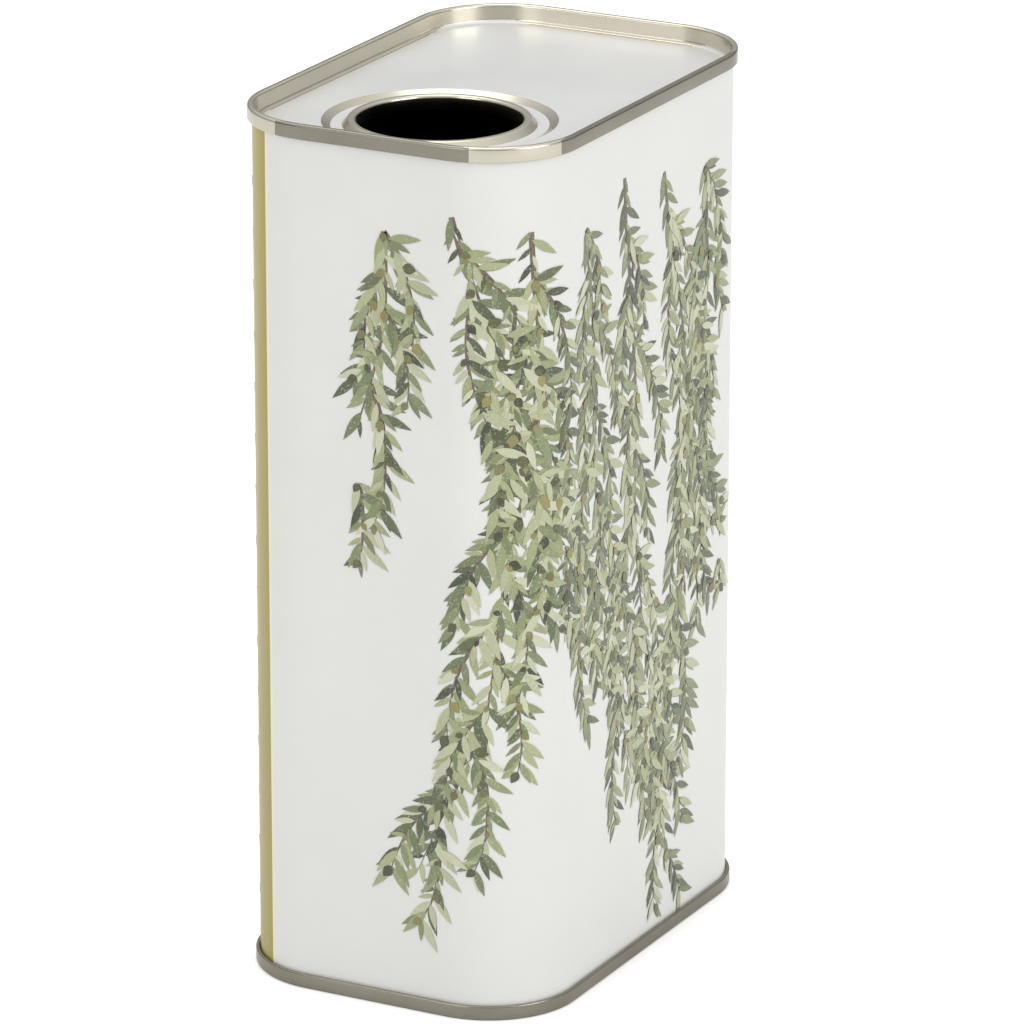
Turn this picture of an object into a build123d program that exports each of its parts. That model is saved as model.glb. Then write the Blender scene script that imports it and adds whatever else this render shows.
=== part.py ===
from build123d import *
import os

# A rectangular oil tin of tinplate, made as such tins are: a rolled and welded body wall,
# closed at each end by a drawn end that is folded on to it in a double seam. The top end
# carries a round flanged mouth, which is open, and there is no spout or cap in it.
# Millimetres, +Z up. The origin is the centre of the plane that the bottom seam rests on.
# +X runs along the long side, away from the mouth, and +Y across the tin, to the back.

# The tin as a whole, over the seams in height and over the wall in plan
tin_height = 175.0
body_length = 99.6
body_width = 66.6
corner_radius = 17.8

# The tinplate of the wall and of the ends
body_sheet = 0.22
end_sheet = 0.22

# The double seams
seam_height = 3.0
seam_clearance = 0.09
end_hook_gap = 0.47
body_hook_gap = 0.53
compound_clearance = 0.03
crown_bend_share = 0.36
hook_bend_share = 0.4

# The countersunk panels of both ends
countersink_depth = 3.8
countersink_radius = 1.0
panel_lap = 0.6

# The stiffening step pressed into the bottom panel
step_inset = 7.0
step_ramp = 1.6
step_rise = 0.8
step_bend_radius = 0.8

# The mouth, its raised lip and the round recess about it
mouth_radius = 16.0
mouth_depth = 2.2
lip_rise = 0.5
lip_width = 1.3
lip_flare = 1.2
lip_bend_radius = 0.5
recess_floor = 2.3
recess_ramp = 1.8
recess_depth = 0.9
recess_bend_radius = 0.8
recess_margin = 4.2

# The welded side seam, up the middle of the narrow side away from the mouth
weld_width = 0.9
weld_rise = 0.1
weld_end_gap = 0.3

# Worked out: the layers of a double seam, outwards from the wall's outer face
chuck_u = -(body_sheet + seam_clearance + end_sheet / 2)
end_hook_u = seam_clearance + end_sheet / 2
body_hook_u = end_hook_u + end_sheet / 2 + seam_clearance + body_sheet / 2
seaming_wall_u = body_hook_u + body_sheet / 2 + seam_clearance + end_sheet / 2
wall_u = -body_sheet / 2

# Worked out: depths from the tin's end plane
body_crown_v = end_sheet + seam_clearance + body_sheet / 2
compound_v = body_crown_v + body_sheet / 2 + compound_clearance
end_hook_v = body_crown_v + body_sheet / 2 + end_hook_gap
seam_bottom_v = seam_height - end_sheet / 2
body_hook_v = seam_height - end_sheet - body_hook_gap
panel_v = countersink_depth + end_sheet / 2
step_v = panel_v + step_rise

# Worked out: the bends of the sheets, at mid thickness
crown_bend_radius = (seaming_wall_u - chuck_u) * crown_bend_share
end_bend_radius = (seaming_wall_u - end_hook_u) * hook_bend_share
body_bend_radius = (body_hook_u - wall_u) * hook_bend_share

# Worked out: the mouth's radii at mid thickness, and its place
lip_inner_radius = mouth_radius + end_sheet / 2
lip_outer_radius = lip_inner_radius + lip_width
lip_foot_radius = lip_outer_radius + lip_flare
recess_floor_radius = lip_foot_radius + recess_floor
recess_radius = recess_floor_radius + recess_ramp
mouth_x = -(body_length / 2 - recess_margin - recess_radius)

# Worked out: where the flat panels take over from the bends about them
panel_u = chuck_u - countersink_radius
step_u = -(step_inset + step_ramp)


# A plane through the mouth's axis. Its x runs outwards and its y up from the panel
mouth_plane = Plane(
    origin=(mouth_x, 0, tin_height - panel_v),
    x_dir=(1, 0, 0),
    z_dir=(0, -1, 0),
)


def section_plane(level, into):
    """A plane across the front wall. Its x runs out of the tin and its y into the tin."""
    return Plane(origin=(0, -body_width / 2, level), x_dir=(0, -1, 0), z_dir=(-into, 0, 0))


def wall_path():
    """The wall's outer face in plan, once round from the middle of the front."""
    half_length = body_length / 2
    half_width = body_width / 2
    with BuildLine() as path:
        FilletPolyline(
            (0, -half_width),
            (half_length, -half_width),
            (half_length, half_width),
            (0, half_width),
            radius=corner_radius,
        )
        mirror(about=Plane.YZ)
    return path.wire()


def seam_points():
    """The end's sheet at mid thickness, from the chuck wall's top over to its hook's tip."""
    return [
        (chuck_u, end_sheet / 2),
        (seaming_wall_u, end_sheet / 2),
        (seaming_wall_u, seam_bottom_v),
        (end_hook_u, seam_bottom_v),
        (end_hook_u, end_hook_v),
    ]


seam_bends = [crown_bend_radius, crown_bend_radius, end_bend_radius, end_bend_radius]


def compound_ring(level, into):
    """The sealing compound that fills the seam between the end's hook and the wall's fold."""
    with BuildPart() as ring:
        with BuildSketch(section_plane(level, into)):
            with Locations((end_hook_u, (compound_v + end_hook_v) / 2)):
                Rectangle(end_sheet, end_hook_v - compound_v)
        sweep(path=wall_path())
    return ring


os.makedirs("parts", exist_ok=True)

# Body wall: one sheet rolled to the rounded rectangle, hooked outwards at both rims
with BuildPart() as body_wall:
    with BuildSketch(section_plane(0, 1)):
        with BuildLine():
            FilletPolyline(
                (body_hook_u, body_hook_v),
                (body_hook_u, body_crown_v),
                (wall_u, body_crown_v),
                (wall_u, tin_height - body_crown_v),
                (body_hook_u, tin_height - body_crown_v),
                (body_hook_u, tin_height - body_hook_v),
                radius=body_bend_radius,
            )
        trace(line_width=body_sheet)
    sweep(path=wall_path())
    # The weld stands a little proud where the sheet's two edges lap
    with BuildSketch(Plane.XY.offset(seam_height + weld_end_gap)):
        with Locations((body_length / 2, 0)):
            Rectangle(2 * weld_rise, weld_width)
    extrude(amount=tin_height - 2 * (seam_height + weld_end_gap))
body_wall.part.label = "body_wall"
export_step(body_wall.part, "parts/body_wall.step")

# Top end: seam and countersink, flat panel, then the recess and the mouth's lip
with BuildPart() as top_end:
    with BuildSketch(section_plane(tin_height, -1)):
        with BuildLine():
            FilletPolyline(
                (panel_u - panel_lap, panel_v),
                (chuck_u, panel_v),
                *seam_points(),
                radius=[countersink_radius] + seam_bends,
            )
        trace(line_width=end_sheet)
    sweep(path=wall_path())
    with BuildSketch(Plane.XY.offset(tin_height - panel_v - end_sheet / 2)):
        RectangleRounded(
            body_length + 2 * (panel_u - panel_lap / 2),
            body_width + 2 * (panel_u - panel_lap / 2),
            corner_radius + panel_u - panel_lap / 2,
        )
        with Locations((mouth_x, 0)):
            Circle(recess_radius + panel_lap / 2, mode=Mode.SUBTRACT)
    extrude(amount=end_sheet)
    with BuildSketch(mouth_plane):
        with BuildLine():
            FilletPolyline(
                (recess_radius + panel_lap, 0),
                (recess_radius, 0),
                (recess_floor_radius, -recess_depth),
                (lip_foot_radius, -recess_depth),
                (lip_outer_radius, lip_rise),
                (lip_inner_radius, lip_rise),
                (lip_inner_radius, -mouth_depth),
                radius=[recess_bend_radius] * 2 + [lip_bend_radius] * 3,
            )
        trace(line_width=end_sheet)
    revolve(axis=Axis((mouth_x, 0, 0), (0, 0, 1)))
top_end.part.label = "top_end"
export_step(top_end.part, "parts/top_end.step")

# Bottom end: the same seam and countersink, with a stiffening step pressed into its panel
with BuildPart() as bottom_end:
    with BuildSketch(section_plane(0, 1)):
        with BuildLine():
            FilletPolyline(
                (step_u - panel_lap, step_v),
                (step_u, step_v),
                (-step_inset, panel_v),
                (chuck_u, panel_v),
                *seam_points(),
                radius=[step_bend_radius] * 2 + [countersink_radius] + seam_bends,
            )
        trace(line_width=end_sheet)
    sweep(path=wall_path())
    with BuildSketch(Plane.XY.offset(step_v - end_sheet / 2)):
        RectangleRounded(
            body_length + 2 * (step_u - panel_lap / 2),
            body_width + 2 * (step_u - panel_lap / 2),
            corner_radius + step_u - panel_lap / 2,
        )
    extrude(amount=end_sheet)
bottom_end.part.label = "bottom_end"
export_step(bottom_end.part, "parts/bottom_end.step")

# Sealing compound, laid in each end before it is seamed on
top_seam_compound = compound_ring(tin_height, -1)
top_seam_compound.part.label = "top_seam_compound"
export_step(top_seam_compound.part, "parts/top_seam_compound.step")

bottom_seam_compound = compound_ring(0, 1)
bottom_seam_compound.part.label = "bottom_seam_compound"
export_step(bottom_seam_compound.part, "parts/bottom_seam_compound.step")
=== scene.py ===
import math
import random

import bmesh
import bpy
from mathutils import Matrix, Vector


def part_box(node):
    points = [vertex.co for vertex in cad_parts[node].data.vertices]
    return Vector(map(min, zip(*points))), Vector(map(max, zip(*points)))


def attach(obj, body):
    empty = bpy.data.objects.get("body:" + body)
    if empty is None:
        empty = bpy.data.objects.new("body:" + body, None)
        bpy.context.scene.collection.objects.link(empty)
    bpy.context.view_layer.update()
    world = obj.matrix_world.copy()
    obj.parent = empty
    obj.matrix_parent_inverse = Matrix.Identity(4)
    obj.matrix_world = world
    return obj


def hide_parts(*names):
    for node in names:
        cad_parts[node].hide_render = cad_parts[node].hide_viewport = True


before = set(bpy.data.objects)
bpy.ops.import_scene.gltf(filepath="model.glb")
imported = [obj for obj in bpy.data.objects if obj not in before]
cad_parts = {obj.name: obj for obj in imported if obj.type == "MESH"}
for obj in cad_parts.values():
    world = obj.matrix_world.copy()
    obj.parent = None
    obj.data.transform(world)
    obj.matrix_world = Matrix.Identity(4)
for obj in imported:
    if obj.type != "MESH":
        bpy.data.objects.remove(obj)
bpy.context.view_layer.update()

# A white-enamelled oil tin in tinplate: the wall and both ends are formed sheets,
# and the print on the wall is laid on as ink. Metres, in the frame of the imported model.
MM = 0.001
RAD = math.radians(1)

# The tin's own sizes, from the frame's box where it gives them
TIN_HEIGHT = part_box("top_end")[1][2]
WALL_LENGTH = 99.6 * MM
WALL_WIDTH = 66.6 * MM
CORNER_RADIUS = 17.8 * MM
SHEET = 0.22 * MM
SEAM_HEIGHT = 3.0 * MM
SEAM_GAP = 0.09 * MM
COUNTERSINK = 3.8 * MM
END_HOOK_GAP = 0.47 * MM
BODY_HOOK_GAP = 0.53 * MM
BODY_BEND = 0.25 * MM
COUNTERSINK_BEND = 1.0 * MM
PANEL_LAP = 0.6 * MM
MOUTH_RADIUS = 16.0 * MM
MOUTH_X = -22.89 * MM
CORNER_STEPS = 28
BEND_STEPS = 7
STRAIGHT_STEP = 4 * MM
WALL_ROW = 8 * MM

# The seam's layers, outwards from the wall's outer face, at mid thickness
CHUCK_U = -(SHEET * 1.5 + SEAM_GAP)
END_HOOK_U = SEAM_GAP + SHEET / 2
BODY_HOOK_U = END_HOOK_U + SHEET + SEAM_GAP
SEAMING_U = BODY_HOOK_U + SHEET + SEAM_GAP
PANEL_V = COUNTERSINK + SHEET / 2
CROWN_V = SHEET * 1.5 + SEAM_GAP

STRAIGHT_X = WALL_LENGTH - 2 * CORNER_RADIUS
STRAIGHT_Y = WALL_WIDTH - 2 * CORNER_RADIUS
ARC = math.pi * CORNER_RADIUS / 2
PERIMETER = 2 * (STRAIGHT_X + STRAIGHT_Y) + 4 * ARC


def wall_point(run, height, out=0.0):
    """A point on the wall, run along it from where the front face begins, and out from it."""
    run = run % PERIMETER
    spans = [STRAIGHT_X, ARC, STRAIGHT_Y, ARC] * 2
    centre = Vector((-STRAIGHT_X / 2, -STRAIGHT_Y / 2))
    turn = 0.0
    for number, span in enumerate(spans):
        heading = Vector((math.cos(turn), math.sin(turn)))
        if run <= span or number == len(spans) - 1:
            break
        run -= span
        if number % 2 == 0:
            centre += heading * span
        else:
            turn += math.pi / 2
    if number % 2 == 0:
        centre = centre + heading * run
    else:
        turn += run / CORNER_RADIUS
    normal = Vector((math.sin(turn), -math.cos(turn)))
    place = centre + normal * (CORNER_RADIUS + out)
    return Vector((place.x, place.y, height))


def stations():
    """Places along the wall for one loop of points, close together in the corners."""
    runs = []
    start = 0.0
    for number, span in enumerate([STRAIGHT_X, ARC, STRAIGHT_Y, ARC] * 2):
        steps = CORNER_STEPS if number % 2 else round(span / STRAIGHT_STEP)
        runs += [start + span * step / steps for step in range(steps)]
        start += span
    return runs


STATIONS = stations()


def bent(points, radii, steps=BEND_STEPS):
    """A line of 2D points with each inner corner rounded to its radius."""
    line = [Vector(points[0])]
    for before, corner, after, radius in zip(points, points[1:], points[2:], radii):
        corner = Vector(corner)
        back = (Vector(before) - corner).normalized()
        ahead = (Vector(after) - corner).normalized()
        half = back.angle(ahead) / 2
        reach = radius / math.tan(half)
        centre = corner + (back + ahead).normalized() * radius / math.sin(half)
        first = corner + back * reach - centre
        last = corner + ahead * reach - centre
        swing = first.angle_signed(last)
        for step in range(steps + 1):
            line.append(centre + Matrix.Rotation(-swing * step / steps, 2) @ first)
    line.append(Vector(points[-1]))
    return line


def wall_loop(u, height):
    return [wall_point(run, height, u) for run in STATIONS]


def mouth_loop(radius, height):
    """A circle about the mouth, with a point towards each of the wall's stations."""
    centre = Vector((MOUTH_X, 0, height))
    loop = []
    for run in STATIONS:
        aim = wall_point(run, height) - centre
        loop.append(centre + aim.normalized() * radius)
    return loop


def new_piece(name, mesh_builder, materials):
    """A mesh object at the origin from a bmesh, with its materials."""
    mesh = bpy.data.meshes.new(name)
    mesh_builder.to_mesh(mesh)
    mesh_builder.free()
    piece = bpy.data.objects.new(name, mesh)
    bpy.context.scene.collection.objects.link(piece)
    for material in materials:
        mesh.materials.append(material)
    return piece


def formed_sheet(name, loops, outside, inside, closed_middle=False):
    """A sheet through loops of points, given its thickness, with a finish for each side."""
    shell = bmesh.new()
    rows = [[shell.verts.new(point) for point in loop] for loop in loops]
    count = len(STATIONS)
    for row, following in zip(rows, rows[1:]):
        for index in range(count):
            after = (index + 1) % count
            shell.faces.new((row[index], row[after], following[after], following[index]))
    if closed_middle:
        shell.faces.new(rows[-1])
    piece = new_piece(name, shell, [outside, inside])
    for polygon in piece.data.polygons:
        polygon.use_smooth = True
    thickness = piece.modifiers.new("sheet", "SOLIDIFY")
    thickness.thickness = SHEET
    thickness.offset = 0.0
    thickness.use_even_offset = True
    thickness.material_offset = 1
    return piece


class Value:
    """A shader socket that Python's own operators work on."""

    def __init__(self, tree, socket):
        self.tree = tree
        self.socket = socket

    def maths(self, operation, *others):
        node = self.tree.nodes.new("ShaderNodeMath")
        node.operation = operation
        for place, item in zip(node.inputs, (self,) + others):
            if isinstance(item, Value):
                self.tree.links.new(item.socket, place)
            else:
                place.default_value = item
        return Value(self.tree, node.outputs[0])

    def __add__(self, other):
        return self.maths("ADD", other)

    def __mul__(self, other):
        return self.maths("MULTIPLY", other)

    def __rsub__(self, other):
        return (self * -1.0) + other

    def __gt__(self, other):
        return self.maths("GREATER_THAN", other)

    def __lt__(self, other):
        return self.maths("LESS_THAN", other)

    __radd__ = __add__
    __rmul__ = __mul__


class Finish:
    """A material whose nodes are added one call at a time."""

    def __init__(self, name, **fixed):
        self.material = bpy.data.materials.new(name)
        self.material.use_nodes = True
        self.tree = self.material.node_tree
        self.surface = self.tree.nodes["Principled BSDF"]
        for socket, value in fixed.items():
            self.surface.inputs[socket.replace("_", " ")].default_value = value
        where = self.node("ShaderNodeTexCoord")
        self.place = where.outputs["Object"]
        axes = self.node("ShaderNodeSeparateXYZ", inputs={0: self.place})
        self.x, self.y, self.z = (Value(self.tree, out) for out in axes.outputs)

    def node(self, kind, settings=None, inputs=None):
        node = self.tree.nodes.new(kind)
        for key, value in (settings or {}).items():
            setattr(node, key, value)
        for key, value in (inputs or {}).items():
            if isinstance(value, Value):
                value = value.socket
            if isinstance(value, bpy.types.NodeSocket):
                self.tree.links.new(value, node.inputs[key])
            else:
                node.inputs[key].default_value = value
        return node

    def noise(self, scale, detail=4.0, stretch=(1.0, 1.0, 1.0)):
        """Noise between 0 and 1, with its scale given per metre."""
        mapped = self.node("ShaderNodeMapping", inputs={"Vector": self.place, "Scale": stretch})
        cloud = self.node(
            "ShaderNodeTexNoise",
            inputs={"Vector": mapped.outputs[0], "Scale": scale, "Detail": detail},
        )
        return Value(self.tree, cloud.outputs[0])

    def blend(self, factor, first, second):
        """A colour that goes from first to second as the factor goes from 0 to 1."""
        node = self.node("ShaderNodeMix", {"data_type": "RGBA"}, {0: factor, 6: first, 7: second})
        return node.outputs[2]

    def set(self, socket, value):
        if isinstance(value, Value):
            value = value.socket
        self.tree.links.new(value, self.surface.inputs[socket])

    def bump(self, height, strength, distance):
        node = self.node(
            "ShaderNodeBump",
            inputs={"Height": height, "Strength": strength, "Distance": distance},
        )
        self.set("Normal", node.outputs[0])


def srgb(red, green, blue):
    """A linear colour from sRGB bytes."""
    channels = []
    for value in (red, green, blue):
        share = value / 255
        channels.append(share / 12.92 if share < 0.04045 else ((share + 0.055) / 1.055) ** 2.4)
    return (*channels, 1.0)


def tinplate(name, dark, light):
    """Bright tinplate: rolling grain along the tin, soft scuffs and slight stains. The seam's copy is
    given darker colours: painted shade.
    """
    finish = Finish(name, Metallic=1.0)
    grain = finish.noise(900, 3.0, (0.06, 1.0, 1.0))
    stain = finish.noise(45, 5.0)
    scuff = finish.noise(260, 6.0, (1.0, 0.35, 1.0))
    finish.set("Base Color", finish.blend(0.35 + 0.5 * stain, dark, light))
    finish.set("Roughness", 0.10 + 0.14 * stain + 0.10 * scuff)
    finish.bump(grain * 0.6 + scuff * 0.4, 0.12, 0.02 * MM)
    return finish.material


def panel_tinplate():
    """The top's tinplate where it is matt and pale, as the flat panel is."""
    finish = Finish("matt_tinplate", Metallic=0.55)
    grain = finish.noise(700, 3.0, (0.05, 1.0, 1.0))
    cloud = finish.noise(30, 4.0)
    speck = finish.noise(1500, 2.0)
    pale = finish.blend(cloud, srgb(218, 218, 216), srgb(232, 232, 230))
    worn = finish.blend((speck > 0.72) * 0.25, pale, srgb(150, 148, 142))
    finish.set("Base Color", worn)
    finish.set("Roughness", 0.34 + 0.12 * cloud + 0.05 * grain)
    finish.bump(grain, 0.08, 0.02 * MM)
    return finish.material


# The gold band round the corner away from the front, with a pale line along each edge
BAND_START = 30 * RAD
BAND_ON_BACK = 8 * MM
BAND_LINE = 0.7 * MM
BARE_STRIP = 3.4 * MM


def enamel():
    """White printing enamel, the gold band on one corner and the bare strip at the weld."""
    finish = Finish("white_enamel", Coat_Weight=0.35, Coat_Roughness=0.12)
    mottle = finish.noise(60, 5.0)
    peel = finish.noise(1800, 2.0)
    streak = finish.noise(240, 3.0, (1.0, 1.0, 0.08))
    dust = finish.noise(2600, 1.0) > 0.79
    white = finish.blend(mottle, srgb(222, 222, 218), srgb(228, 228, 224))
    white = finish.blend(dust * 0.16, white, srgb(170, 168, 160))
    band_y = STRAIGHT_Y / 2 + CORNER_RADIUS * math.sin(BAND_START)
    band_x = -(STRAIGHT_X / 2 - BAND_ON_BACK)
    edged = (finish.y > band_y - BAND_LINE) * (finish.x < band_x + BAND_LINE)
    inked = (finish.y > band_y) * (finish.x < band_x)
    up = finish.z * (1 / TIN_HEIGHT)
    gold = finish.blend(up, srgb(164, 153, 76), srgb(170, 152, 44))
    gold = finish.blend(streak * 0.35, gold, srgb(142, 130, 56))
    printed = finish.blend(edged, white, srgb(236, 230, 200))
    printed = finish.blend(inked, printed, gold)
    strip = (finish.x > WALL_LENGTH / 2 - MM) * (finish.y < BARE_STRIP) * (finish.y > -BARE_STRIP)
    colour = finish.blend(strip, printed, srgb(196, 194, 188))
    finish.set("Base Color", colour)
    finish.set("Metallic", strip)
    finish.set("Roughness", 0.30 + 0.08 * mottle + 0.05 * streak)
    finish.bump(peel * 0.5 + mottle * 0.5, 0.06, 0.03 * MM)
    return finish.material


def inside_painted_shade():
    """A near-black colour on the inside of every sheet, painted shade for the dark inside of the tin."""
    finish = Finish("inside_painted_shade", Coat_Weight=0.1)
    cloud = finish.noise(70, 4.0)
    finish.set("Base Color", finish.blend(cloud, srgb(30, 26, 20), srgb(44, 37, 28)))
    finish.set("Roughness", 0.55 + 0.15 * cloud)
    finish.bump(cloud, 0.05, 0.02 * MM)
    return finish.material


def compound():
    finish = Finish("seam_compound_grey")
    cloud = finish.noise(400, 4.0)
    finish.set("Base Color", finish.blend(cloud, srgb(84, 82, 78), srgb(118, 115, 108)))
    finish.set("Roughness", 0.7 + 0.2 * cloud)
    return finish.material


def ink(name, stops, under):
    """Printing ink whose tint each leaf or fruit carries, broken a little by the press."""
    finish = Finish(name, Coat_Weight=0.35, Coat_Roughness=0.12)
    tint = finish.node("ShaderNodeAttribute", {"attribute_name": "tint"})
    ramp = finish.node("ShaderNodeValToRGB", inputs={0: tint.outputs["Fac"]})
    ramp.color_ramp.elements[0].color = stops[0]
    ramp.color_ramp.elements[1].color = stops[-1]
    for number, stop in enumerate(stops[1:-1], 1):
        ramp.color_ramp.elements.new(number / (len(stops) - 1)).color = stop
    grain = finish.noise(2400, 3.0)
    finish.set("Base Color", finish.blend((grain > 0.62) * 0.3, ramp.outputs[0], under))
    finish.set("Roughness", 0.34 + 0.1 * grain)
    return finish.material


ENAMEL = enamel()
# The inside of every sheet is painted near black: painted shade for the unlit inside of the tin.
INSIDE_SHADE = inside_painted_shade()
TINPLATE = tinplate("bright_tinplate", srgb(160, 154, 136), srgb(236, 231, 214))
# The seam's tinplate is a darker copy of the same tinplate: painted shade for the seam's darker look.
SHADED_SEAM_TINPLATE = tinplate("seam_tinplate_painted_shade", srgb(78, 73, 62), srgb(176, 171, 157))
MATT_PANEL = panel_tinplate()

# The ends' sheets
CROWN_BEND_SHARE = 0.36
HOOK_BEND_SHARE = 0.4
CROWN_BEND = (SEAMING_U - CHUCK_U) * CROWN_BEND_SHARE
HOOK_BEND = (SEAMING_U - END_HOOK_U) * HOOK_BEND_SHARE
SEAM_LINE = [
    (END_HOOK_U, CROWN_V + SHEET / 2 + END_HOOK_GAP),
    (END_HOOK_U, SEAM_HEIGHT - SHEET / 2),
    (SEAMING_U, SEAM_HEIGHT - SHEET / 2),
    (SEAMING_U, SHEET / 2),
    (CHUCK_U, SHEET / 2),
]
SEAM_BENDS = [HOOK_BEND, HOOK_BEND, CROWN_BEND, CROWN_BEND]

# The mouth's section, out from its axis and up from the panel, at mid thickness
LIP_INNER = MOUTH_RADIUS + SHEET / 2
LIP_WIDTH = 1.3 * MM
LIP_FLARE = 1.2 * MM
FLOOR_WIDTH = 2.3 * MM
RAMP_WIDTH = 1.8 * MM
LIP_OUTER = LIP_INNER + LIP_WIDTH
LIP_FOOT = LIP_OUTER + LIP_FLARE
RECESS_FLOOR = LIP_FOOT + FLOOR_WIDTH
RECESS = RECESS_FLOOR + RAMP_WIDTH
RECESS_DEPTH = 0.9 * MM
LIP_RISE = 0.5 * MM
MOUTH_DEPTH = 2.2 * MM
LIP_BEND = 0.5 * MM
RECESS_BEND = 0.8 * MM
BRIGHT_EDGE = 0.9 * MM

# The step pressed into the bottom panel
STEP_INSET = 7.0 * MM
STEP_RAMP = 1.6 * MM
STEP_RISE = 0.8 * MM
STEP_BEND = 0.8 * MM


def top_end():
    """The top: its seam, countersink and flat panel, then the recess and the mouth's lip."""
    rim = bent(
        SEAM_LINE + [(CHUCK_U, PANEL_V), (CHUCK_U - COUNTERSINK_BEND - PANEL_LAP, PANEL_V)],
        SEAM_BENDS + [COUNTERSINK_BEND],
    )
    mouth = bent(
        [
            (RECESS + PANEL_LAP, 0),
            (RECESS, 0),
            (RECESS_FLOOR, -RECESS_DEPTH),
            (LIP_FOOT, -RECESS_DEPTH),
            (LIP_OUTER, LIP_RISE),
            (LIP_INNER, LIP_RISE),
            (LIP_INNER, -MOUTH_DEPTH),
        ],
        [RECESS_BEND] * 2 + [LIP_BEND] * 3,
    )
    loops = [wall_loop(u, TIN_HEIGHT - v) for u, v in rim]
    loops += [mouth_loop(r, TIN_HEIGHT - PANEL_V + z) for r, z in mouth]
    # The top's underside takes the near-black inside colour, painted shade.
    piece = formed_sheet("top_end_sheet", loops, TINPLATE, INSIDE_SHADE)
    matt_slot = len(piece.data.materials)
    piece.data.materials.append(MATT_PANEL)
    # This slot holds the darker seam tinplate, painted shade.
    shaded_seam_slot = len(piece.data.materials)
    piece.data.materials.append(SHADED_SEAM_TINPLATE)
    panel_top = TIN_HEIGHT - PANEL_V + LIP_RISE + SHEET
    for polygon in piece.data.polygons:
        past_side = abs(polygon.center.x) - WALL_LENGTH / 2
        past_front = abs(polygon.center.y) - WALL_WIDTH / 2
        outward = max(past_side, past_front)
        from_mouth = math.hypot(polygon.center.x - MOUTH_X, polygon.center.y)
        on_ramp = RECESS_FLOOR < from_mouth < RECESS
        flat = outward < CHUCK_U - BRIGHT_EDGE and from_mouth > LIP_FOOT and not on_ramp
        if outward > 0:
            polygon.material_index = shaded_seam_slot
        elif polygon.center.z < panel_top and flat:
            polygon.material_index = matt_slot
    return piece


def bottom_end():
    """The bottom: the same seam, and a shallow step pressed into the panel."""
    rim = bent(
        SEAM_LINE + [
            (CHUCK_U, PANEL_V),
            (-STEP_INSET, PANEL_V),
            (-STEP_INSET - STEP_RAMP, PANEL_V + STEP_RISE),
            (-STEP_INSET - STEP_RAMP - PANEL_LAP, PANEL_V + STEP_RISE),
        ],
        SEAM_BENDS + [COUNTERSINK_BEND] + [STEP_BEND] * 2,
    )
    loops = [wall_loop(u, v)[::-1] for u, v in rim]
    # The bottom's outside is the darker seam tinplate, painted shade, and its inside the near-black inside
    # colour, painted shade.
    return formed_sheet("bottom_end_sheet", loops, SHADED_SEAM_TINPLATE, INSIDE_SHADE, closed_middle=True)


def body_wall():
    """The rolled wall, hooked outwards at both rims inside the seams."""
    hook = SEAM_HEIGHT - SHEET - BODY_HOOK_GAP
    line = bent(
        [
            (BODY_HOOK_U, hook),
            (BODY_HOOK_U, CROWN_V),
            (-SHEET / 2, CROWN_V),
            (-SHEET / 2, TIN_HEIGHT - CROWN_V),
            (BODY_HOOK_U, TIN_HEIGHT - CROWN_V),
            (BODY_HOOK_U, TIN_HEIGHT - hook),
        ],
        [BODY_BEND] * 4,
    )
    loops = []
    for (u, z), (next_u, next_z) in zip(line, line[1:]):
        pieces = max(1, round(abs(next_z - z) / WALL_ROW))
        for part in range(pieces):
            share = part / pieces
            loops.append(wall_loop(u + (next_u - u) * share, z + (next_z - z) * share))
    loops.append(wall_loop(*line[-1]))
    # The wall's inside takes the near-black inside colour, painted shade.
    return formed_sheet("enamelled_wall", loops, ENAMEL, INSIDE_SHADE)


# The welded side seam
WELD_WIDTH = 0.9 * MM
WELD_RISE = 0.09 * MM
WELD_END_GAP = 0.3 * MM
WELD_SINK = 0.02 * MM


def weld_seam():
    """The lapped weld's low ridge, with the shallow beads that the welding wheel leaves."""
    low = SEAM_HEIGHT + WELD_END_GAP
    steps = 220
    across = 6
    ridge = bmesh.new()
    rows = []
    for step in range(steps + 1):
        z = low + (TIN_HEIGHT - 2 * low) * step / steps
        swell = WELD_RISE * (0.85 + 0.15 * math.cos(math.pi * step))
        row = []
        for place in range(across + 1):
            angle = math.pi * place / across
            x = WALL_LENGTH / 2 - WELD_SINK + swell * math.sin(angle)
            row.append(ridge.verts.new((x, -WELD_WIDTH / 2 * math.cos(angle), z)))
        rows.append(row)
    for row, after in zip(rows, rows[1:]):
        for place in range(across):
            ridge.faces.new((row[place], row[place + 1], after[place + 1], after[place]))
        ridge.faces.new((row[across], row[0], after[0], after[across]))
    ridge.faces.new(rows[0])
    ridge.faces.new(rows[-1])
    bmesh.ops.recalc_face_normals(ridge, faces=ridge.faces)
    return new_piece("side_weld", ridge, [TINPLATE])


# The print: sprays of olive leaves and fruit, drawn flat and then wrapped on the wall
INK_LIFT = 0.05 * MM
NEAR_CORNER = -ARC / 2
LEAF_INK = ink(
    "leaf_ink",
    [
        srgb(64, 70, 52),
        srgb(104, 114, 78),
        srgb(134, 144, 100),
        srgb(168, 172, 128),
        srgb(202, 204, 176),
    ],
    srgb(226, 228, 218),
)
FRUIT_INK = ink("fruit_ink", [srgb(58, 62, 44), srgb(96, 98, 60), srgb(150, 142, 84)], srgb(196, 190, 150))
TWIG_INK = ink("twig_ink", [srgb(112, 96, 82), srgb(132, 116, 92)], srgb(190, 176, 140))
BORDER_INK = ink("border_ink", [srgb(66, 62, 34), srgb(80, 74, 40)], srgb(110, 102, 52))


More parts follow.
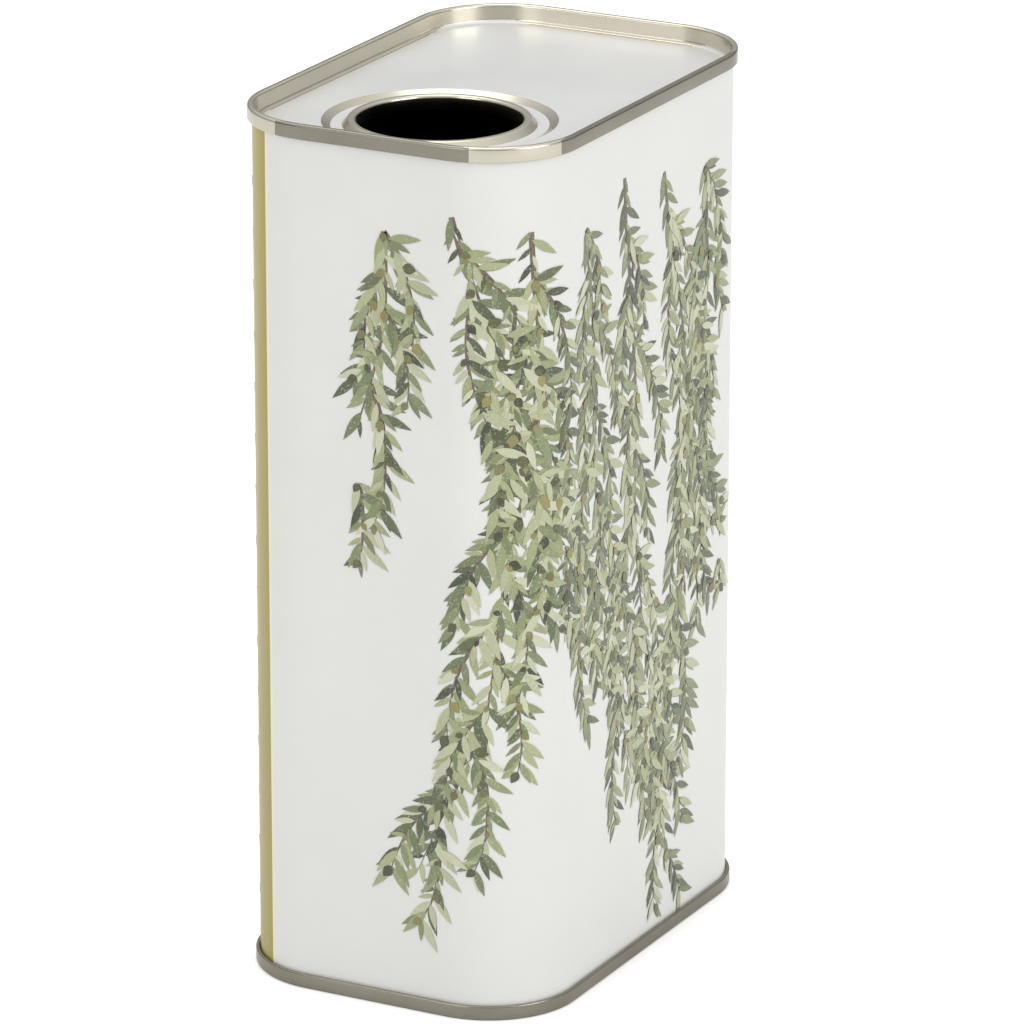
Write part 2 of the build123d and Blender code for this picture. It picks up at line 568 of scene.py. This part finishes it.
def flat_shape(name, outline):
    """A leaf or fruit lying flat along X, as a fan of faces, kept out of the scene."""
    shape = bmesh.new()
    upper = [shape.verts.new((x, y, 0)) for x, y in outline]
    lower = [upper[0]] + [shape.verts.new((x, -y, 0)) for x, y in outline[1:-1]] + [upper[-1]]
    middle = [upper[0]] + [shape.verts.new((x, 0, 0)) for x, y in outline[1:-1]] + [upper[-1]]
    for one, two, flip in ((middle, upper, False), (middle, lower, True)):
        for index in range(len(outline) - 1):
            corners = [one[index], one[index + 1], two[index + 1], two[index]]
            corners = list(dict.fromkeys(corners))
            shape.faces.new(corners[::-1] if flip else corners)
    mesh = bpy.data.meshes.new(name)
    shape.to_mesh(mesh)
    shape.free()
    return bpy.data.objects.new(name, mesh)


def leaf_outline(length, width):
    steps = 6
    points = []
    for step in range(steps + 1):
        share = step / steps
        points.append((length * share, width / 2 * math.sin(math.pi * share ** 0.8)))
    return points


def spray_tree():
    """A tree that sets a shape along every line, at either side in turn."""
    tree = bpy.data.node_groups.new("spray", "GeometryNodeTree")
    face = tree.interface
    face.new_socket("Lines", in_out="INPUT", socket_type="NodeSocketGeometry")
    for name, kind in (
        ("Shape", "NodeSocketObject"),
        ("Ink", "NodeSocketMaterial"),
        ("Spacing", "NodeSocketFloat"),
        ("Spread", "NodeSocketFloat"),
        ("Stray", "NodeSocketFloat"),
        ("Smallest", "NodeSocketFloat"),
        ("Layers", "NodeSocketFloat"),
        ("Seed", "NodeSocketInt"),
    ):
        face.new_socket(name, in_out="INPUT", socket_type=kind)
    face.new_socket("Print", in_out="OUTPUT", socket_type="NodeSocketGeometry")

    def node(kind, settings=None, inputs=None):
        made = tree.nodes.new(kind)
        for key, value in (settings or {}).items():
            setattr(made, key, value)
        for key, value in (inputs or {}).items():
            if isinstance(value, bpy.types.NodeSocket):
                tree.links.new(value, made.inputs[key])
            else:
                made.inputs[key].default_value = value
        return made

    given = node("NodeGroupInput").outputs
    curve = node("GeometryNodeMeshToCurve", inputs={"Mesh": given["Lines"]})
    spaced = node(
        "GeometryNodeResampleCurve",
        {"mode": "LENGTH"},
        {"Curve": curve.outputs[0], "Length": given["Spacing"]},
    )
    number = node("GeometryNodeInputIndex")
    side = node("ShaderNodeMath", {"operation": "MODULO"}, {0: number.outputs[0], 1: 2.0})
    sign = node("ShaderNodeMath", {"operation": "MULTIPLY_ADD"}, {0: side.outputs[0], 1: 2.0, 2: -1.0})
    turn = node("ShaderNodeMath", {"operation": "MULTIPLY"}, {0: sign.outputs[0], 1: given["Spread"]})
    least = node("ShaderNodeMath", {"operation": "MULTIPLY"}, {0: given["Stray"], 1: -1.0})
    stray = node(
        "FunctionNodeRandomValue",
        inputs={2: least.outputs[0], 3: given["Stray"], "Seed": given["Seed"]},
    )
    angle = node("ShaderNodeMath", {"operation": "ADD"}, {0: turn.outputs[0], 1: stray.outputs[1]})
    spin = node("ShaderNodeCombineXYZ", inputs={"Z": angle.outputs[0]})
    tangent = node("GeometryNodeInputTangent")
    aligned = node(
        "FunctionNodeAlignRotationToVector",
        {"axis": "X", "pivot_axis": "Z"},
        {"Vector": tangent.outputs[0]},
    )
    rotated = node(
        "FunctionNodeRotateRotation",
        {"rotation_space": "LOCAL"},
        {0: aligned.outputs[0], 1: spin.outputs[0]},
    )
    size = node(
        "FunctionNodeRandomValue",
        inputs={2: given["Smallest"], 3: 1.0, "Seed": given["Seed"]},
    )
    shape = node("GeometryNodeObjectInfo", inputs={"Object": given["Shape"]})
    tint = node("FunctionNodeRandomValue", inputs={2: 0.0, 3: 1.0, "Seed": 11})
    placed = node(
        "GeometryNodeInstanceOnPoints",
        inputs={
            "Points": spaced.outputs[0],
            "Instance": shape.outputs["Geometry"],
            "Rotation": rotated.outputs[0],
            "Scale": size.outputs[1],
        },
    )
    layer = node("ShaderNodeMath", {"operation": "MULTIPLY"}, {0: tint.outputs[1], 1: given["Layers"]})
    raised = node("ShaderNodeCombineXYZ", inputs={"Z": layer.outputs[0]})
    layered = node(
        "GeometryNodeTranslateInstances",
        inputs={"Instances": placed.outputs[0], "Translation": raised.outputs[0]},
    )
    tinted = node(
        "GeometryNodeStoreNamedAttribute",
        {"domain": "INSTANCE"},
        {"Geometry": layered.outputs[0], "Name": "tint", "Value": tint.outputs[1]},
    )
    real = node("GeometryNodeRealizeInstances", inputs={"Geometry": tinted.outputs[0]})
    coloured = node(
        "GeometryNodeSetMaterial",
        inputs={"Geometry": real.outputs[0], "Material": given["Ink"]},
    )
    node("NodeGroupOutput", inputs={"Print": coloured.outputs[0]})
    return tree


SPRAY = spray_tree()


def wrap(mesh, lift):
    """Carry a flat drawing on to the wall: its X runs along the wall and its Y is height."""
    for vertex in mesh.vertices:
        flat = vertex.co
        vertex.co = wall_point(NEAR_CORNER + flat.x, flat.y, lift + flat.z)


def printed(name, lines, material, lift, **inputs):
    """Lay a spray's leaves or fruit along flat lines, and wrap them on the wall."""
    drawing = bmesh.new()
    for line in lines:
        points = [drawing.verts.new((x, y, 0)) for x, y in line]
        for first, second in zip(points, points[1:]):
            drawing.edges.new((first, second))
    carrier = new_piece(name + "_lines", drawing, [])
    modifier = carrier.modifiers.new("spray", "NODES")
    modifier.node_group = SPRAY
    identifiers = {item.name: item.identifier for item in SPRAY.interface.items_tree}
    for key, value in dict(inputs, Ink=material).items():
        modifier[identifiers[key]] = value
    evaluated = carrier.evaluated_get(bpy.context.evaluated_depsgraph_get())
    mesh = bpy.data.meshes.new_from_object(evaluated)
    bpy.data.objects.remove(carrier)
    mesh.name = name
    wrap(mesh, lift)
    piece = bpy.data.objects.new(name, mesh)
    bpy.context.scene.collection.objects.link(piece)
    return piece


def stem(start, heading, length, curl, sway):
    """A bending stem in flat coordinates, as points a little apart."""
    steps = 14
    place = Vector(start)
    points = [tuple(place)]
    for step in range(steps):
        heading += (curl + sway * math.cos(step * 0.9)) / steps
        place = place + Vector((math.cos(heading), math.sin(heading))) * length / steps
        points.append(tuple(place))
    return points


PRINT_LOW = 7 * MM
PRINT_HIGH = 164 * MM
PRINT_LEFT = -33 * MM
PRINT_RIGHT = 78 * MM


def sprays(seed=4):
    """Long stems that hang from above in fans, each with its side twigs."""
    draw = random.Random(seed)
    mains = []
    twigs = []
    count = 7
    for number in range(count):
        share = ((number + 0.5) / count) ** 1.1
        start = (PRINT_LEFT + (PRINT_RIGHT - PRINT_LEFT) * share, PRINT_HIGH - 3 * MM * (number % 3))
        reach = (158 - 46 * abs(2 * share - 1.2) - 18 * (number % 2)) * MM
        main = stem(start, -90 * RAD + draw.uniform(-0.16, 0.16), reach, draw.uniform(-0.5, 0.5), 1.5)
        mains.append(main)
        for place in range(1, 14):
            along = Vector(main[place]) - Vector(main[place - 1])
            way = math.atan2(along.y, along.x) + (0.7 if place % 2 else -0.7)
            reach = draw.uniform(18, 30) * MM
            twigs.append(stem(main[place], way, reach, -0.8 if place % 2 else 0.8, 0.4))
    return mains, twigs


def kept(lines):
    """Only the points of each line that lie inside the printed field."""
    inside = []
    for line in lines:
        points = [p for p in line if PRINT_LEFT < p[0] < PRINT_RIGHT and PRINT_LOW < p[1] < PRINT_HIGH]
        if len(points) > 2:
            inside.append(points)
    return inside


def ribbons(name, lines, width, material, lift):
    """Stems as narrow bands of ink that thin towards their tips."""
    bands = bmesh.new()
    for line in lines:
        edges = []
        for index, point in enumerate(line):
            before = Vector(line[max(index - 1, 0)])
            after = Vector(line[min(index + 1, len(line) - 1)])
            across = (after - before).normalized().orthogonal()
            half = width / 2 * (1.1 - index / len(line))
            left = Vector(point) + across * half
            right = Vector(point) - across * half
            edges.append([bands.verts.new((*side, 0)) for side in (right, left)])
        for first, second in zip(edges, edges[1:]):
            bands.faces.new((first[0], second[0], second[1], first[1]))
    piece = new_piece(name, bands, [material])
    wrap(piece.data, lift)
    return piece


def wall_print():
    """Every piece of the printed design."""
    leaf = flat_shape("leaf_shape", leaf_outline(7.4 * MM, 1.9 * MM))
    fruit = flat_shape("fruit_shape", leaf_outline(3.0 * MM, 2.2 * MM))
    small_leaf = flat_shape("border_leaf_shape", leaf_outline(5.2 * MM, 2.2 * MM))
    mains, twigs = sprays()
    mains = kept(mains)
    twigs = kept(twigs)
    spread = dict(Spread=0.65, Stray=0.4, Smallest=0.45, Layers=0.05 * MM)
    pieces = [
        ribbons("printed_stems", mains + twigs, 1.1 * MM, TWIG_INK, INK_LIFT),
        printed("printed_leaves", mains + twigs, LEAF_INK, INK_LIFT + 0.02 * MM,
                Shape=leaf, Spacing=1.5 * MM, Seed=3, **spread),
        printed("printed_top_leaves", twigs, LEAF_INK, INK_LIFT + 0.08 * MM,
                Shape=leaf, Spacing=1.9 * MM, Seed=8, **spread),
        printed("printed_fruit", twigs, FRUIT_INK, INK_LIFT + 0.14 * MM,
                Shape=fruit, Spacing=6.5 * MM, Seed=5, **spread),
    ]
    band_edge = -(ARC / 2 + STRAIGHT_Y + CORNER_RADIUS * BAND_START)
    band_end = -(ARC * 1.5 + STRAIGHT_Y + BAND_ON_BACK)
    border = [[((band_edge + band_end) / 2, z * MM) for z in range(12, 164, 2)]]
    pieces.append(ribbons("border_stem", border, 0.6 * MM, BORDER_INK, INK_LIFT))
    pieces.append(printed("border_leaves", border, BORDER_INK, INK_LIFT + 0.02 * MM,
                          Shape=small_leaf, Spacing=5.0 * MM, Spread=0.75, Stray=0.0,
                          Smallest=1.0, Layers=0.0, Seed=1))
    for mesh_object in (leaf, fruit, small_leaf):
        bpy.data.objects.remove(mesh_object)
    return pieces


wall = body_wall()
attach(wall, "root")
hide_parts("body_wall")
for sheet, node_name in ((top_end(), "top_end"), (bottom_end(), "bottom_end")):
    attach(sheet, "root")
    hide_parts(node_name)
weld = weld_seam()
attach(weld, "root")
for piece in wall_print():
    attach(piece, "root")

COMPOUND = compound()
for name in ("top_seam_compound", "bottom_seam_compound"):
    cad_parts[name].data.materials.clear()
    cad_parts[name].data.materials.append(COMPOUND)


# The camera, at the photograph's angle
AZIMUTH = -62.248 * RAD
ELEVATION = 18.446 * RAD
ROLL = 0.045 * RAD
DISTANCE = 1424.8 * MM
FOCAL_PIXELS = 7242.9
PICTURE_PIXELS = 1024
SENSOR = 36.0


def photo_camera():
    back = Vector((
        math.sin(AZIMUTH) * math.cos(ELEVATION),
        -math.cos(AZIMUTH) * math.cos(ELEVATION),
        math.sin(ELEVATION),
    ))
    right = Vector((math.cos(AZIMUTH), math.sin(AZIMUTH), 0))
    target = Vector((0, 0, 87.5 * MM)) + right * 3.13 * MM + Vector((0, 0, -1.78 * MM))
    turned = Matrix((right, back.cross(right), back)).transposed() @ Matrix.Rotation(ROLL, 3, "Z")
    data = bpy.data.cameras.new("camera")
    data.sensor_width = SENSOR
    data.lens = FOCAL_PIXELS * SENSOR / PICTURE_PIXELS
    data.clip_end = 20.0
    camera = bpy.data.objects.new("camera", data)
    camera.matrix_world = Matrix.Translation(target + back * DISTANCE) @ turned.to_4x4()
    bpy.context.scene.collection.objects.link(camera)
    bpy.context.scene.camera = camera


def soft_light(name, place, size, power):
    """A square lamp that faces the middle of the tin."""
    data = bpy.data.lights.new(name, "AREA")
    data.shape = "SQUARE"
    data.size = size
    data.energy = power
    lamp = bpy.data.objects.new(name, data)
    lamp.location = place
    aim = Vector((0, 0, TIN_HEIGHT / 2)) - lamp.location
    lamp.rotation_euler = aim.to_track_quat("-Z", "Y").to_euler()
    bpy.context.scene.collection.objects.link(lamp)


def studio():
    """A pale floor, a soft world that darkens low down, and large lamps."""
    world = bpy.data.worlds.new("studio")
    bpy.context.scene.world = world
    world.use_nodes = True
    tree = world.node_tree
    backdrop = tree.nodes["Background"]
    paths = tree.nodes.new("ShaderNodeLightPath")
    seen = Value(tree, paths.outputs["Is Camera Ray"])
    where = tree.nodes.new("ShaderNodeTexCoord")
    axes = tree.nodes.new("ShaderNodeSeparateXYZ")
    tree.links.new(where.outputs["Generated"], axes.inputs[0])
    sky = (Value(tree, axes.outputs["Z"]) * 0.95 + 0.20).maths("MAXIMUM", 0.12)
    level = seen + (1 - seen) * sky
    backdrop.inputs[0].default_value = (1, 1, 1, 1)
    tree.links.new(level.socket, backdrop.inputs[1])

    floor_mesh = bmesh.new()
    bmesh.ops.create_grid(floor_mesh, x_segments=1, y_segments=1, size=6.0)
    finish = Finish("floor_white")
    cloud = finish.noise(3.0)
    finish.set("Base Color", finish.blend(cloud, srgb(238, 238, 238), srgb(242, 242, 242)))
    finish.set("Roughness", 0.7 + 0.2 * cloud)
    light = finish.node("ShaderNodeLightPath")
    glow = finish.node("ShaderNodeEmission", inputs={"Color": (1, 1, 1, 1)})
    lift = Value(finish.tree, light.outputs["Is Camera Ray"]) * 0.32
    finish.tree.links.new(lift.socket, glow.inputs["Strength"])
    both = finish.node("ShaderNodeAddShader", inputs={0: finish.surface.outputs[0], 1: glow.outputs[0]})
    output = finish.tree.nodes["Material Output"]
    finish.tree.links.new(both.outputs[0], output.inputs["Surface"])
    floor = new_piece("floor", floor_mesh, [finish.material])

    soft_light("right_lamp", (-0.25, -1.5, 0.8), 1.0, 8.8)
    soft_light("left_lamp", (-1.5, 0.35, 0.7), 0.9, 4.6)
    soft_light("top_lamp", (0.3, 0.4, 1.5), 1.0, 4.6)


photo_camera()
studio()
bpy.context.scene.view_settings.view_transform = "Standard"
